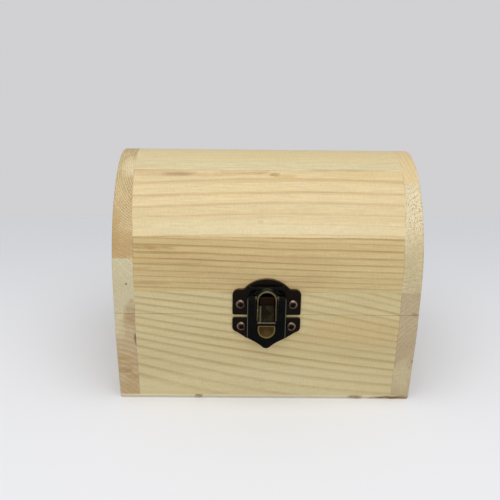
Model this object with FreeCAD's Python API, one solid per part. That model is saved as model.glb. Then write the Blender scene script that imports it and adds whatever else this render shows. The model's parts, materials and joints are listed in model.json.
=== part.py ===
import FreeCAD, Part
import math
import os

# Small pine chest with a barrel lid and a bronze hasp. Millimetres, +Z up.
# The origin is the middle of the underside, the front looks along -Y.

# --- chest ---
chest_width = 130.0
chest_depth = 90.0
box_height = 44.5
saw_gap = 0.12
lid_straight_height = 13.5
taper_height = 36.0
taper_in = 5.0
taper_round = 60.0
arris = 0.6
left_end_thickness = 8.8
right_end_thickness = 8.2
wall_thickness = 8.0
bottom_thickness = 1.8
bottom_proud = 0.3
bottom_corner_round = 1.2

# --- glue joints of the lid boards and the end panels ---
rail_drop = 3.0
stave_angles = (26.2, 68.0, 112.0, 153.8)
left_low_joint_rise = 3.6
left_high_joint_rise = 11.2
right_cap_height = 6.4
joint_lean = 1.7
joint_lean_height = 28.0

# --- back hinges ---
hinge_inset = 29.0
leaf_width = 16.0
leaf_height = 8.0
leaf_thickness = 0.9
knuckle_radius = 1.3
centre_knuckle_length = 6.0
hinge_pin_radius = 0.55
hinge_screw_spacing = 10.0
hinge_screw_rise = 5.0

# --- hasp plates, measured from the seam in the middle of the front ---
hasp_offset = -0.25
plate_thickness = 0.8
plate_half_width = 14.5
dome_radius = 12.2
dome_height = 16.8
lid_plate_foot = 0.1
lid_ear_top = 12.1
ear_outer_round = 2.8
ear_foot_round = 1.9
ear_inner_round = 0.9
box_plate_head = -1.2
box_ear_foot = -7.6
box_taper_head_side = 12.5
box_taper_head = -8.0
box_taper_foot_side = 8.4
box_taper_foot = -10.9
box_plate_tip = -13.4
lid_screw_side = 11.05
lid_screw_rise = 5.3
box_screw_side = 10.65
box_screw_rise = -5.05

# --- hasp flap ---
flap_half_width = 8.2
flap_thickness = 0.8
flap_gap = 1.0
flap_shoulder = 11.5
flap_head_round = 4.0
flap_corner = -9.9
flap_neck_half_width = 3.4
flap_neck_foot = -12.6
flap_neck_round = 1.0
flap_tip = -15.7
flap_tip_round = 2.0
flange_thickness = 0.6
flange_top = 6.8
flap_axis_rise = 13.0
flap_knuckle_radius = 1.15
flap_knuckle_half_length = 4.8
plate_knuckle_length = 2.4
flap_pin_radius = 0.45

# --- collar on the flap and the tongue that turns in it ---
collar_half_width = 4.5
collar_wall = 1.35
collar_top = 13.2
collar_foot = -0.9
collar_height = 2.0
collar_edge_round = 0.54
tongue_axis_rise = 9.3
tongue_axis_stand = 0.7
tongue_pin_radius = 0.45
lug_radius = 0.95
lug_length = 3.0
hub_radius = 0.9
tongue_thickness = 0.9
tongue_face_drop = 0.45
tongue_face_top = 6.4
ridge_radius = 0.6
ridge_rise = -1.85
ridge_half_length = 3.9
bill_half_width = 3.75
bill_length = 5.7
bill_flare = 12.0
bill_rim = 0.8
bill_dish_depth = 0.35
neck_length = 1.5
finger_half_width = 1.7
finger_depth = 1.5
keeper_half_width = 2.6
keeper_head = -2.3
keeper_foot = -3.9
keeper_height = 0.75
catch_engagement = 0.3

# --- screws ---
hasp_screw_head_radius = 2.15
hasp_screw_head_height = 1.0
hasp_screw_radius = 0.9
hasp_screw_length = 6.0
hinge_screw_head_radius = 1.5
hinge_screw_head_height = 0.7
hinge_screw_radius = 0.75
hinge_screw_length = 5.0
thread_pitch = 0.8
thread_depth = 0.2
cross_slot_width = 0.5
cross_slot_depth = 0.5
cross_slot_share = 0.62
head_brow_share = (0.8, 0.7)
lid_screw_turns = (4.0, 33.0)
box_screw_turns = (52.0, 21.0)
hinge_screw_turns = (12.0, 61.0, 38.0, 80.0)

# --- clearances ---
pin_clearance = 0.05
knuckle_clearance = 0.15
side_clearance = 0.2
catch_clearance = 0.15
hole_clearance = 0.1

# --- worked out from the above ---
half_width = chest_width / 2
half_depth = chest_depth / 2
inner_left = -half_width + left_end_thickness
inner_right = half_width - right_end_thickness
between_ends = (inner_left, inner_right)
hinge_spacing = chest_width - 2 * hinge_inset
arch_centre = box_height + lid_straight_height
crown = arch_centre + half_depth
foot_half_depth = half_depth - taper_in
inner_half_depth = half_depth - wall_thickness
inner_foot_half_depth = foot_half_depth - wall_thickness
box_top = box_height - saw_gap / 2
lid_foot = box_height + saw_gap / 2
rail_top = arch_centre - rail_drop
lean_foot = crown - joint_lean_height
beyond = chest_depth
hinge_axis_y = half_depth + knuckle_clearance + knuckle_radius
flap_back = plate_thickness + flap_gap
flap_front = flap_back + flap_thickness
flap_axis_stand = plate_thickness + knuckle_clearance + flap_knuckle_radius
tongue_axis = flap_front + tongue_axis_stand
collar_front = flap_front + collar_height
collar_inner = collar_half_width - collar_wall
tongue_face = collar_front - tongue_face_drop
tongue_back = tongue_face - tongue_thickness
tongue_half_width = collar_inner - side_clearance

X_AXIS = FreeCAD.Vector(1, 0, 0)
Y_AXIS = FreeCAD.Vector(0, 1, 0)
Z_AXIS = FreeCAD.Vector(0, 0, 1)
ORIGIN = FreeCAD.Vector(0, 0, 0)


def yz(y, z, x=0.0):
    return FreeCAD.Vector(x, y, z)


def line(start, end):
    return Part.LineSegment(start, end).toShape()


def block(x_range, y_range, z_range):
    corner = FreeCAD.Vector(x_range[0], y_range[0], z_range[0])
    return Part.makeBox(x_range[1] - x_range[0], y_range[1] - y_range[0],
                        z_range[1] - z_range[0], corner)


def prism(section, x_range):
    """A closed outline of (y, z) points, carried along X."""
    points = [yz(y, z, x_range[0]) for y, z in section]
    face = Part.Face(Part.makePolygon(points + points[:1]))
    return face.extrude(X_AXIS * (x_range[1] - x_range[0]))


def fused(first, *others):
    return first.fuse(list(others)).removeSplitter()


def rounded_wire(corners):
    """A closed wire in the XY plane from (x, y, radius) corners."""
    count = len(corners)
    entries = []
    for index, (x, y, radius) in enumerate(corners):
        here = FreeCAD.Vector(x, y, 0)
        before = FreeCAD.Vector(*corners[index - 1][:2], 0) - here
        after = FreeCAD.Vector(*corners[(index + 1) % count][:2], 0) - here
        half_angle = before.getAngle(after) / 2
        before.normalize()
        after.normalize()
        reach = radius / math.tan(half_angle)
        middle = before + after
        middle.normalize()
        depth = radius / math.sin(half_angle) - radius
        entries.append((here + before * reach, here + middle * depth, here + after * reach, radius))
    edges = []
    for index, (start, middle, end, radius) in enumerate(entries):
        if radius > 0:
            edges.append(Part.Arc(start, middle, end).toShape())
        edges.append(line(end, entries[(index + 1) % count][0]))
    return Part.Wire(edges)


def sheet(corners, low, high):
    """A flat piece between two distances from the wood."""
    face = Part.Face(rounded_wire(corners))
    face.translate(Z_AXIS * low)
    return face.extrude(Z_AXIS * (high - low))


def rod(radius, start_x, end_x, rise, stand):
    """A round bar along X at a height above the seam and a distance from the wood."""
    return Part.makeCylinder(radius, end_x - start_x, FreeCAD.Vector(start_x, rise, stand), X_AXIS)


def on_front(shape):
    """Take a hasp piece, drawn flat with Z out of the wood, to its place on the front."""
    placed = shape.copy()
    placed.rotate(ORIGIN, X_AXIS, 90)
    placed.translate(FreeCAD.Vector(hasp_offset, -half_depth, box_height))
    return placed


# --- screws ---

def screw_blank(head_radius, head_height, radius, length):
    """Turned profile with ring threads, head on Z >= 0 and point downwards."""
    root = radius - thread_depth
    points = [(0, -length), (root, -length + 2 * radius)]
    turn = -length + 2 * radius
    while turn + thread_pitch < -thread_pitch:
        points.append((radius, turn + thread_pitch / 2))
        points.append((root, turn + thread_pitch))
        turn += thread_pitch
    points += [(radius, -thread_pitch), (radius, 0), (head_radius, 0)]
    edges = [line(FreeCAD.Vector(a[0], 0, a[1]), FreeCAD.Vector(b[0], 0, b[1]))
             for a, b in zip(points, points[1:])]
    rim = FreeCAD.Vector(head_radius, 0, 0)
    brow_out, brow_up = head_brow_share
    brow = FreeCAD.Vector(head_radius * brow_out, 0, head_height * brow_up)
    top = FreeCAD.Vector(0, 0, head_height)
    edges += [Part.Arc(rim, brow, top).toShape(), line(top, FreeCAD.Vector(0, 0, -length))]
    return Part.Face(Part.Wire(edges)).revolve(ORIGIN, Z_AXIS, 360)


def wood_screw(head_radius, head_height, radius, length, turn):
    screw = screw_blank(head_radius, head_height, radius, length)
    reach = head_radius * cross_slot_share
    half_slot = cross_slot_width / 2
    depth = (head_height - cross_slot_depth, head_height + 1)
    slots = [block((-reach, reach), (-half_slot, half_slot), depth),
             block((-half_slot, half_slot), (-reach, reach), depth)]
    screw = screw.cut(slots)
    screw.rotate(ORIGIN, Z_AXIS, turn)
    return screw


def hasp_screws(offset, rise, turns):
    screws = []
    for side, turn in zip((-1, 1), turns):
        screw = wood_screw(hasp_screw_head_radius, hasp_screw_head_height,
                           hasp_screw_radius, hasp_screw_length, turn)
        screw.translate(FreeCAD.Vector(side * offset, rise, plate_thickness))
        screws.append(on_front(screw))
    return screws


def hasp_screw_holes(offset, rise, radius):
    depth = hasp_screw_length
    return [Part.makeCylinder(radius, depth + plate_thickness,
                              FreeCAD.Vector(side * offset, rise, plate_thickness - depth))
            for side in (-1, 1)]


def hinge_screw_places(direction):
    """Middle of each screw head seat on the box (-1) or lid (+1) leaves."""
    return [FreeCAD.Vector(side * hinge_spacing / 2 + step * hinge_screw_spacing / 2,
                           half_depth + leaf_thickness,
                           box_height + direction * hinge_screw_rise)
            for side in (-1, 1) for step in (-1, 1)]


def hinge_screws(direction):
    screws = []
    for place, turn in zip(hinge_screw_places(direction), hinge_screw_turns):
        screw = wood_screw(hinge_screw_head_radius, hinge_screw_head_height,
                           hinge_screw_radius, hinge_screw_length, turn)
        screw.rotate(ORIGIN, X_AXIS, -90)
        screw.translate(place)
        screws.append(screw)
    return screws


def hinge_screw_holes(direction, radius):
    return [Part.makeCylinder(radius, hinge_screw_length, place, Y_AXIS * -1)
            for place in hinge_screw_places(direction)]


# --- wood ---

def flank_outline(side, x):
    """Front (-1) or back (+1) edge of the outline, from the foot up to the arch."""
    lean = math.atan(taper_in / taper_height)
    reach = taper_round * math.tan(lean / 2)
    inset = taper_round * (1 - math.cos(lean / 2))
    foot = yz(side * foot_half_depth, 0, x)
    low = yz(side * (half_depth - reach * math.sin(lean)), taper_height - reach * math.cos(lean), x)
    middle = yz(side * (half_depth - inset),
                taper_height + reach - taper_round * math.sin(lean / 2), x)
    high = yz(side * half_depth, taper_height + reach, x)
    return [line(foot, low), Part.Arc(low, middle, high).toShape(),
            line(high, yz(side * half_depth, arch_centre, x))]


def chest_outline(x):
    """Side outline: flanks that taper in to the foot, upright walls, half-round lid."""
    edges = [line(yz(foot_half_depth, 0, x), yz(-foot_half_depth, 0, x))]
    edges += flank_outline(-1, x)
    edges.append(Part.Arc(yz(-half_depth, arch_centre, x), yz(0, crown, x),
                          yz(half_depth, arch_centre, x)).toShape())
    edges += reversed(flank_outline(1, x))
    return Part.Wire(edges)


def chest_blank():
    """The glued-up block before it is sawn and hollowed, arrises sanded round."""
    blank = Part.Face(chest_outline(-half_width)).extrude(X_AXIS * chest_width)
    end_edges = [edge for edge in blank.Edges
                 if abs(abs(edge.CenterOfMass.x) - half_width) < 1e-6]
    return blank.makeFillet(arris, end_edges)


def bottom_panel():
    """Thin plate glued under the walls, a little proud at the front and the back."""
    reach = foot_half_depth + bottom_proud
    plate = block((-half_width, half_width), (-reach, reach), (0, bottom_thickness))
    corners = [edge for edge in plate.Edges if abs(edge.tangentAt(0).z) > 0.9]
    return plate.makeFillet(bottom_corner_round, corners)


def core():
    """Space between the end panels, whose joints lean out towards the crown."""
    top = crown + arris
    foot = -arris
    reach = joint_lean * (top - lean_foot) / joint_lean_height
    outline = [(inner_left, foot), (inner_right, foot), (inner_right, lean_foot),
               (inner_right + reach, top), (inner_left - reach, top), (inner_left, lean_foot)]
    points = [FreeCAD.Vector(x, -beyond, z) for x, z in outline]
    face = Part.Face(Part.makePolygon(points + points[:1]))
    return face.extrude(Y_AXIS * (2 * beyond))


def box_board(blank, side):
    """Front (-1) or back (+1) board of the box, leaning in towards its foot."""
    slope = (inner_half_depth - inner_foot_half_depth) / box_height
    inner_low = inner_foot_half_depth + slope * bottom_thickness
    inner_top = inner_foot_half_depth + slope * box_top
    section = [(side * inner_low, bottom_thickness), (side * beyond, bottom_thickness),
               (side * beyond, box_top), (side * inner_top, box_top)]
    return blank.common(prism(section, between_ends))


def end_piece(blank, side, low, high):
    """A length of the left (-1) or right (+1) end panel between two heights."""
    x_range = sorted((0, side * beyond))
    return blank.common(block(x_range, (-beyond, beyond), (low, high))).cut(core())


def lid_rail(blank, side):
    y_range = sorted((side * inner_half_depth, side * beyond))
    return blank.common(block(between_ends, y_range, (lid_foot, rail_top)))


def arch_point(radius, angle):
    turn = math.radians(angle)
    return (-radius * math.cos(turn), arch_centre + radius * math.sin(turn))


def stave(blank, low_angle, high_angle):
    """A lid stave between two radial glue joints: round outside, flat inside."""
    section = [arch_point(inner_half_depth, low_angle), arch_point(beyond, low_angle),
               arch_point(beyond, high_angle), arch_point(inner_half_depth, high_angle)]
    return blank.common(prism(section, (-beyond, beyond))).common(core())


def foot_stave(blank, side):
    """The lowest stave on the front (-1) or back (+1), standing on its rail."""
    joint = stave_angles[0] if side < 0 else stave_angles[-1]
    section = [(side * inner_half_depth, rail_top), (side * beyond, rail_top),
               arch_point(beyond, joint), arch_point(inner_half_depth, joint)]
    return blank.common(prism(section, (-beyond, beyond))).common(core())


def wooden_pieces():
    blank = chest_blank()
    hasp_radius = hasp_screw_radius
    hinge_radius = hinge_screw_radius
    box_pilots = [on_front(hole) for hole in
                  hasp_screw_holes(box_screw_side, box_screw_rise, hasp_radius)]
    lid_pilots = [on_front(hole) for hole in
                  hasp_screw_holes(lid_screw_side, lid_screw_rise, hasp_radius)]
    left_low = box_height + left_low_joint_rise
    left_high = arch_centre + left_high_joint_rise
    right_high = crown - right_cap_height
    first, second, third, fourth = stave_angles
    return {
        "bottom_panel": bottom_panel(),
        "box_front_board": box_board(blank, -1).cut(box_pilots),
        "box_back_board": box_board(blank, 1).cut(hinge_screw_holes(-1, hinge_radius)),
        "box_left_end": end_piece(blank, -1, bottom_thickness, box_top),
        "box_right_end": end_piece(blank, 1, bottom_thickness, box_top),
        "lid_front_rail": lid_rail(blank, -1).cut(lid_pilots),
        "lid_front_lower_stave": foot_stave(blank, -1),
        "lid_front_upper_stave": stave(blank, first, second),
        "lid_crown_stave": stave(blank, second, third),
        "lid_back_upper_stave": stave(blank, third, fourth),
        "lid_back_lower_stave": foot_stave(blank, 1),
        "lid_back_rail": lid_rail(blank, 1).cut(hinge_screw_holes(1, hinge_radius)),
        "lid_left_end_lower": end_piece(blank, -1, lid_foot, left_low),
        "lid_left_end_middle": end_piece(blank, -1, left_low, left_high),
        "lid_left_end_upper": end_piece(blank, -1, left_high, beyond * 2),
        "lid_right_end_lower": end_piece(blank, 1, lid_foot, rail_top),
        "lid_right_end_middle": end_piece(blank, 1, rail_top, right_high),
        "lid_right_end_upper": end_piece(blank, 1, right_high, beyond * 2),
    }


# --- back hinges ---

def knuckle(middle_x, length):
    start = FreeCAD.Vector(middle_x - length / 2, hinge_axis_y, box_height)
    return Part.makeCylinder(knuckle_radius, length, start, X_AXIS)


def hinge_pin(middle_x):
    start = FreeCAD.Vector(middle_x - leaf_width / 2, hinge_axis_y, box_height)
    return Part.makeCylinder(hinge_pin_radius, leaf_width, start, X_AXIS)


def hinge_leaf(middle_x, direction, spans, bore_radius):
    """A box (-1) or lid (+1) leaf with one knuckle over each (start, end) span."""
    notch = knuckle_radius + knuckle_clearance
    heights = sorted((box_height + direction * notch, box_height + direction * leaf_height))
    leaf = block((middle_x - leaf_width / 2, middle_x + leaf_width / 2),
                 (half_depth, half_depth + leaf_thickness), heights)
    outer_z = box_height + direction * leaf_height
    corners = [edge for edge in leaf.Edges
               if abs(edge.CenterOfMass.z - outer_z) < 1e-6 and abs(edge.tangentAt(0).y) > 0.9]
    leaf = leaf.makeFillet(leaf_thickness, corners)
    parts = []
    for start, end in spans:
        middle = middle_x + (start + end) / 2
        parts.append(knuckle(middle, end - start))
        web_heights = sorted((box_height, box_height + direction * notch))
        parts.append(block((middle_x + start, middle_x + end),
                           (half_depth + knuckle_clearance, half_depth + leaf_thickness),
                           web_heights))
    leaf = fused(leaf, *parts)
    bore = Part.makeCylinder(bore_radius, leaf_width * 2,
                             FreeCAD.Vector(middle_x - leaf_width, hinge_axis_y, box_height), X_AXIS)
    return leaf.cut([bore] + hinge_screw_holes(direction, hinge_screw_radius + hole_clearance))


def hinge_pieces():
    half_leaf = leaf_width / 2
    half_centre = centre_knuckle_length / 2
    gap = knuckle_clearance
    outer_spans = ((-half_leaf, -half_centre - gap), (half_centre + gap, half_leaf))
    centre_span = ((-half_centre, half_centre),)
    pieces = {}
    for name, side in (("left", -1), ("right", 1)):
        middle_x = side * hinge_spacing / 2
        pieces[name + "_hinge_box_leaf"] = hinge_leaf(middle_x, -1, outer_spans, hinge_pin_radius)
        pieces[name + "_hinge_lid_leaf"] = hinge_leaf(middle_x, 1, centre_span,
                                                      hinge_pin_radius + pin_clearance)
        pieces[name + "_hinge_pin"] = hinge_pin(middle_x)
    pieces["hinge_box_screws"] = Part.makeCompound(hinge_screws(-1))
    pieces["hinge_lid_screws"] = Part.makeCompound(hinge_screws(1))
    return pieces


# --- hasp ---

def lid_plate():
    """Domed plate on the lid, with two knuckles that carry the flap."""
    ears = sheet([(-plate_half_width, lid_plate_foot, ear_inner_round),
                  (plate_half_width, lid_plate_foot, ear_inner_round),
                  (plate_half_width, lid_ear_top, ear_outer_round),
                  (-plate_half_width, lid_ear_top, ear_outer_round)], 0, plate_thickness)
    dome_middle = FreeCAD.Vector(0, dome_height - dome_radius, 0)
    dome = Part.makeCylinder(dome_radius, plate_thickness, dome_middle)
    parts = [dome.common(block((-dome_radius, dome_radius), (lid_plate_foot, dome_height),
                               (0, plate_thickness)))]
    inner = flap_knuckle_half_length + knuckle_clearance
    for side in (-1, 1):
        start, end = sorted((side * inner, side * (inner + plate_knuckle_length)))
        parts.append(rod(flap_knuckle_radius, start, end, flap_axis_rise, flap_axis_stand))
        parts.append(block((start, end), (flap_axis_rise, flap_axis_rise + flap_knuckle_radius),
                           (0, flap_axis_stand)))
    bore = rod(flap_pin_radius, -plate_half_width, plate_half_width,
               flap_axis_rise, flap_axis_stand)
    holes = hasp_screw_holes(lid_screw_side, lid_screw_rise, hasp_screw_radius + hole_clearance)
    return fused(ears, *parts).cut([bore] + holes)


def box_plate():
    """Plate on the box that narrows to a point, with the keeper for the tongue."""
    half_tip = [(plate_half_width, box_plate_head, ear_inner_round),
                (plate_half_width, box_ear_foot, ear_foot_round),
                (box_taper_head_side, box_taper_head, 0),
                (box_taper_foot_side, box_taper_foot, 0),
                (flap_neck_half_width - flange_thickness, flap_neck_foot + flap_thickness, 0)]
    left_side = [(-x, y, radius) for x, y, radius in half_tip]
    corners = left_side + [(0, box_plate_tip, flap_tip_round / 2)] + half_tip[::-1]
    plate = sheet(corners, 0, plate_thickness)
    keeper = block((-keeper_half_width, keeper_half_width), (keeper_foot, keeper_head),
                   (0, plate_thickness + keeper_height))
    holes = hasp_screw_holes(box_screw_side, box_screw_rise, hasp_screw_radius + hole_clearance)
    return fused(plate, keeper).cut(holes)


def arch_wire(half_span, top, foot):
    """Upright outline with a half-round head."""
    middle = top - half_span
    left_foot = FreeCAD.Vector(-half_span, foot, 0)
    left_head = FreeCAD.Vector(-half_span, middle, 0)
    right_head = FreeCAD.Vector(half_span, middle, 0)
    right_foot = FreeCAD.Vector(half_span, foot, 0)
    arc = Part.Arc(left_head, FreeCAD.Vector(0, top, 0), right_head).toShape()
    return Part.Wire([line(left_foot, left_head), arc, line(right_head, right_foot),
                      line(right_foot, left_foot)])


def arch_solid(half_span, top, foot, low, high):
    face = Part.Face(arch_wire(half_span, top, foot))
    face.translate(Z_AXIS * low)
    return face.extrude(Z_AXIS * (high - low))


def collar():
    """Raised hood round the tongue, open at its foot."""
    outer = arch_solid(collar_half_width, collar_top, collar_foot, flap_back, collar_front)
    inner = arch_solid(collar_inner, collar_top - collar_wall, collar_foot - 1,
                       flap_back - 1, collar_front + 1)
    wall = outer.cut(inner)
    front_edges = [edge for edge in wall.Edges
                   if abs(edge.CenterOfMass.z - collar_front) < 1e-6 and edge.Length > 2 * collar_wall]
    return wall.makeFillet(collar_edge_round, front_edges)


def flap():
    neck = flap_knuckle_half_length
    half = [(flap_half_width, flap_shoulder, flap_head_round),
            (flap_half_width, flap_corner, ear_inner_round),
            (flap_neck_half_width, flap_neck_foot, flap_neck_round)]
    left_half = [(-x, y, radius) for x, y, radius in half]
    corners = left_half + [(0, flap_tip, flap_tip_round)] + half[::-1]
    plate = sheet(corners, flap_back, flap_front)
    parts = [block((-neck, neck), (flap_shoulder - flap_thickness, flap_axis_rise),
                   (flap_back, flap_front)),
             rod(flap_knuckle_radius, -neck, neck, flap_axis_rise, flap_axis_stand)]
    for side in (-1, 1):
        x_range = sorted((side * flap_half_width, side * (flap_half_width - flange_thickness)))
        parts.append(block(x_range, (flap_corner + ear_inner_round, flange_top),
                           (plate_thickness + knuckle_clearance, flap_back)))
        lug_range = sorted((side * (collar_half_width - collar_wall / 2),
                            side * (collar_half_width + lug_length)))
        parts.append(rod(lug_radius, *lug_range, tongue_axis_rise, tongue_axis))
    plate = fused(plate, *parts)
    window_top = flap_axis_rise - flap_knuckle_radius - flap_thickness / 2
    window = arch_solid(collar_inner, window_top, collar_foot, flap_back - 1, collar_front)
    slot = block((-finger_half_width - side_clearance, finger_half_width + side_clearance),
                 (keeper_foot - finger_depth - neck_length, collar_foot),
                 (flap_back - 1, flap_front + 1))
    plate = fused(plate.cut([window, slot]), collar())
    pin_bore = rod(flap_pin_radius + pin_clearance, -plate_half_width, plate_half_width,
                   flap_axis_rise, flap_axis_stand)
    tongue_bore = rod(tongue_pin_radius, -plate_half_width, plate_half_width,
                      tongue_axis_rise, tongue_axis)
    return plate.cut([pin_bore, tongue_bore])


def bill():
    """Rounded thumb piece with a raised rim, drawn flat with its root at Y = 0."""
    plate = arch_solid(bill_half_width, bill_length, 0, 0, tongue_thickness)
    dish = arch_solid(bill_half_width - bill_rim, bill_length - bill_rim, bill_rim,
                      tongue_thickness - bill_dish_depth, tongue_thickness + 1)
    plate = plate.cut(dish)
    plate.rotate(ORIGIN, Z_AXIS, 180)
    plate.rotate(ORIGIN, X_AXIS, -bill_flare)
    return plate


def tongue():
    """Lever that turns in the collar; its finger sits under the keeper."""
    width = tongue_half_width
    root = ridge_rise - neck_length
    parts = [block((side_clearance - width, width - side_clearance),
                   (tongue_face_top - tongue_thickness, tongue_axis_rise),
                   (tongue_axis - tongue_thickness / 2, tongue_axis + tongue_thickness / 2)),
             block((-width, width), (ridge_rise, tongue_face_top), (tongue_back, tongue_face)),
             block((-bill_half_width + bill_rim, bill_half_width - bill_rim),
                   (root - bill_rim / 2, ridge_rise),
                   (tongue_back, tongue_back + tongue_thickness / 2)),
             rod(ridge_radius, -ridge_half_length, ridge_half_length,
                 ridge_rise, collar_front - ridge_radius)]
    thumb = bill()
    thumb.translate(FreeCAD.Vector(0, root, tongue_back))
    finger_head = keeper_foot - catch_clearance
    finger = block((-finger_half_width, finger_half_width),
                   (finger_head - finger_depth, finger_head),
                   (plate_thickness + keeper_height - catch_engagement,
                    tongue_back + tongue_thickness / 2))
    hub_reach = width - side_clearance
    hub = rod(hub_radius, -hub_reach, hub_reach, tongue_axis_rise, tongue_axis)
    bore = rod(tongue_pin_radius + pin_clearance, -plate_half_width, plate_half_width,
               tongue_axis_rise, tongue_axis)
    return fused(hub, thumb, finger, *parts).cut(bore)


def hasp_pieces():
    pin_reach = flap_knuckle_half_length + knuckle_clearance + plate_knuckle_length
    tongue_pin_reach = collar_half_width + lug_length
    pieces = {
        "hasp_lid_plate": lid_plate(),
        "hasp_box_plate": box_plate(),
        "hasp_flap": flap(),
        "hasp_flap_pin": rod(flap_pin_radius, -pin_reach, pin_reach,
                             flap_axis_rise, flap_axis_stand),
        "hasp_tongue": tongue(),
        "hasp_tongue_pin": rod(tongue_pin_radius, -tongue_pin_reach, tongue_pin_reach,
                               tongue_axis_rise, tongue_axis),
    }
    pieces = {name: on_front(shape) for name, shape in pieces.items()}
    pieces["hasp_lid_screws"] = Part.makeCompound(
        hasp_screws(lid_screw_side, lid_screw_rise, lid_screw_turns))
    pieces["hasp_box_screws"] = Part.makeCompound(
        hasp_screws(box_screw_side, box_screw_rise, box_screw_turns))
    return pieces


def main():
    os.makedirs("parts", exist_ok=True)
    pieces = {}
    pieces.update(wooden_pieces())
    pieces.update(hinge_pieces())
    pieces.update(hasp_pieces())
    for name, shape in pieces.items():
        shape.exportStep("parts/" + name + ".step")
        print(name, len(shape.Solids), "solid(s)", round(shape.Volume, 2), "mm3", shape.isValid())


main()
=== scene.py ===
import json
import math

import bmesh
import bpy
from mathutils import Euler, Matrix, Vector


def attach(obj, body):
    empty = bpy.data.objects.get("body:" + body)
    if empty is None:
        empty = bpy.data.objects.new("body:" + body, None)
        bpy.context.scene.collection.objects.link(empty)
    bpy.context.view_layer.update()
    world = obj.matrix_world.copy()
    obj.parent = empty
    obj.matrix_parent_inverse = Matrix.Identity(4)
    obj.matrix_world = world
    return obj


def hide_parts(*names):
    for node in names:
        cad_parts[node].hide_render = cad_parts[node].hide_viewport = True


# Small pine chest with a barrel lid and a bronze hasp.
# Sizes are in millimetres and turned into metres where a piece or a lamp is made.

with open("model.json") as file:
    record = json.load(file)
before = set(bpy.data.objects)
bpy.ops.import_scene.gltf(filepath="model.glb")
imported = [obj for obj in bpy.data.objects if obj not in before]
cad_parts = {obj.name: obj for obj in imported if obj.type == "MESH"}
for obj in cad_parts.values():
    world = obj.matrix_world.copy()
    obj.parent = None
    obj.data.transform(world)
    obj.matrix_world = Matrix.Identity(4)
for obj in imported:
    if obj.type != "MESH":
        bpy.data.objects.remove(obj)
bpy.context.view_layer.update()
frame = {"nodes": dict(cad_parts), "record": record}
MM = 0.001

# --- chest ---
half_depth = 45.0
seam = 44.5
arch_centre = 58.0
stave_angles = (26.2, 68.0, 112.0, 153.8)
left_joint = -56.2
right_joint = 56.8
lean_foot = 75.0
joint_lean = 1.7 / 28

# --- hasp, drawn flat: X to the right, Y up from the seam, Z out of the wood ---
hasp_offset = -0.25
plate_thickness = 0.8
plate_half_width = 14.5
plate_rounding = 0.28
dome_radius = 12.2
dome_height = 16.8
lid_plate_foot = 0.1
lid_ear_top = 12.1
box_plate_head = -1.2
lid_screw_side = 11.05
lid_screw_rise = 5.3
box_screw_side = 10.65
box_screw_rise = -5.05
screw_ring_inside = 1.35
screw_ring_outside = 1.95
box_ear_foot = -7.6
box_ear_corner = (12.5, -8.0)
box_waist = (8.4, -10.9)
box_chin = (2.8, -11.8)
box_tip = -13.4
keeper_spans = ((-2.6, 2.6), (-3.9, -2.3), (0.2, 1.55))
flap_half_width = 8.2
flap_back = 1.8
flap_front = 2.6
flap_shoulder = 11.5
flap_corner = -9.9
flap_chin = (3.4, -12.6)
flap_tip = -15.7
slot_half_width = 1.9
slot_foot = -6.9
fold_top = 6.8
fold_back = 0.95
flap_axis = (13.0, 2.1)
flap_knuckle_radius = 1.15
flap_knuckle_half_length = 4.8
plate_knuckle_length = 2.4
knuckle_gap = 0.15
tongue_axis = (9.3, 3.3)
lug_radius = 0.95
lug_reach = 7.5
collar_foot = -0.9
collar_front = 4.6
collar_half_width = 4.5
hood_centre = 8.7
opening_centre = 8.3
collar_opening = 3.4
tongue_half_width = 3.2
tongue_face_top = 6.4
tongue_back = 3.25
tongue_face = 4.15
ridge_rise = -1.85
ridge_radius = 0.6
ridge_half_length = 3.9
bill_root = -3.35
bill_half_width = 3.75
bill_length = 5.7
bill_thickness = 0.9
bill_flare = 12.0
finger_spans = ((-1.7, 1.7), (-5.55, -4.05), (1.25, tongue_back + 0.45))


def tint(red, green, blue):
    """A colour given the way a paint chart gives it, 0 to 255."""
    def linear(value):
        share = value / 255
        return share / 12.92 if share <= 0.04045 else ((share + 0.055) / 1.055) ** 2.4
    return (linear(red), linear(green), linear(blue), 1.0)


# --- laying nodes ---

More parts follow.
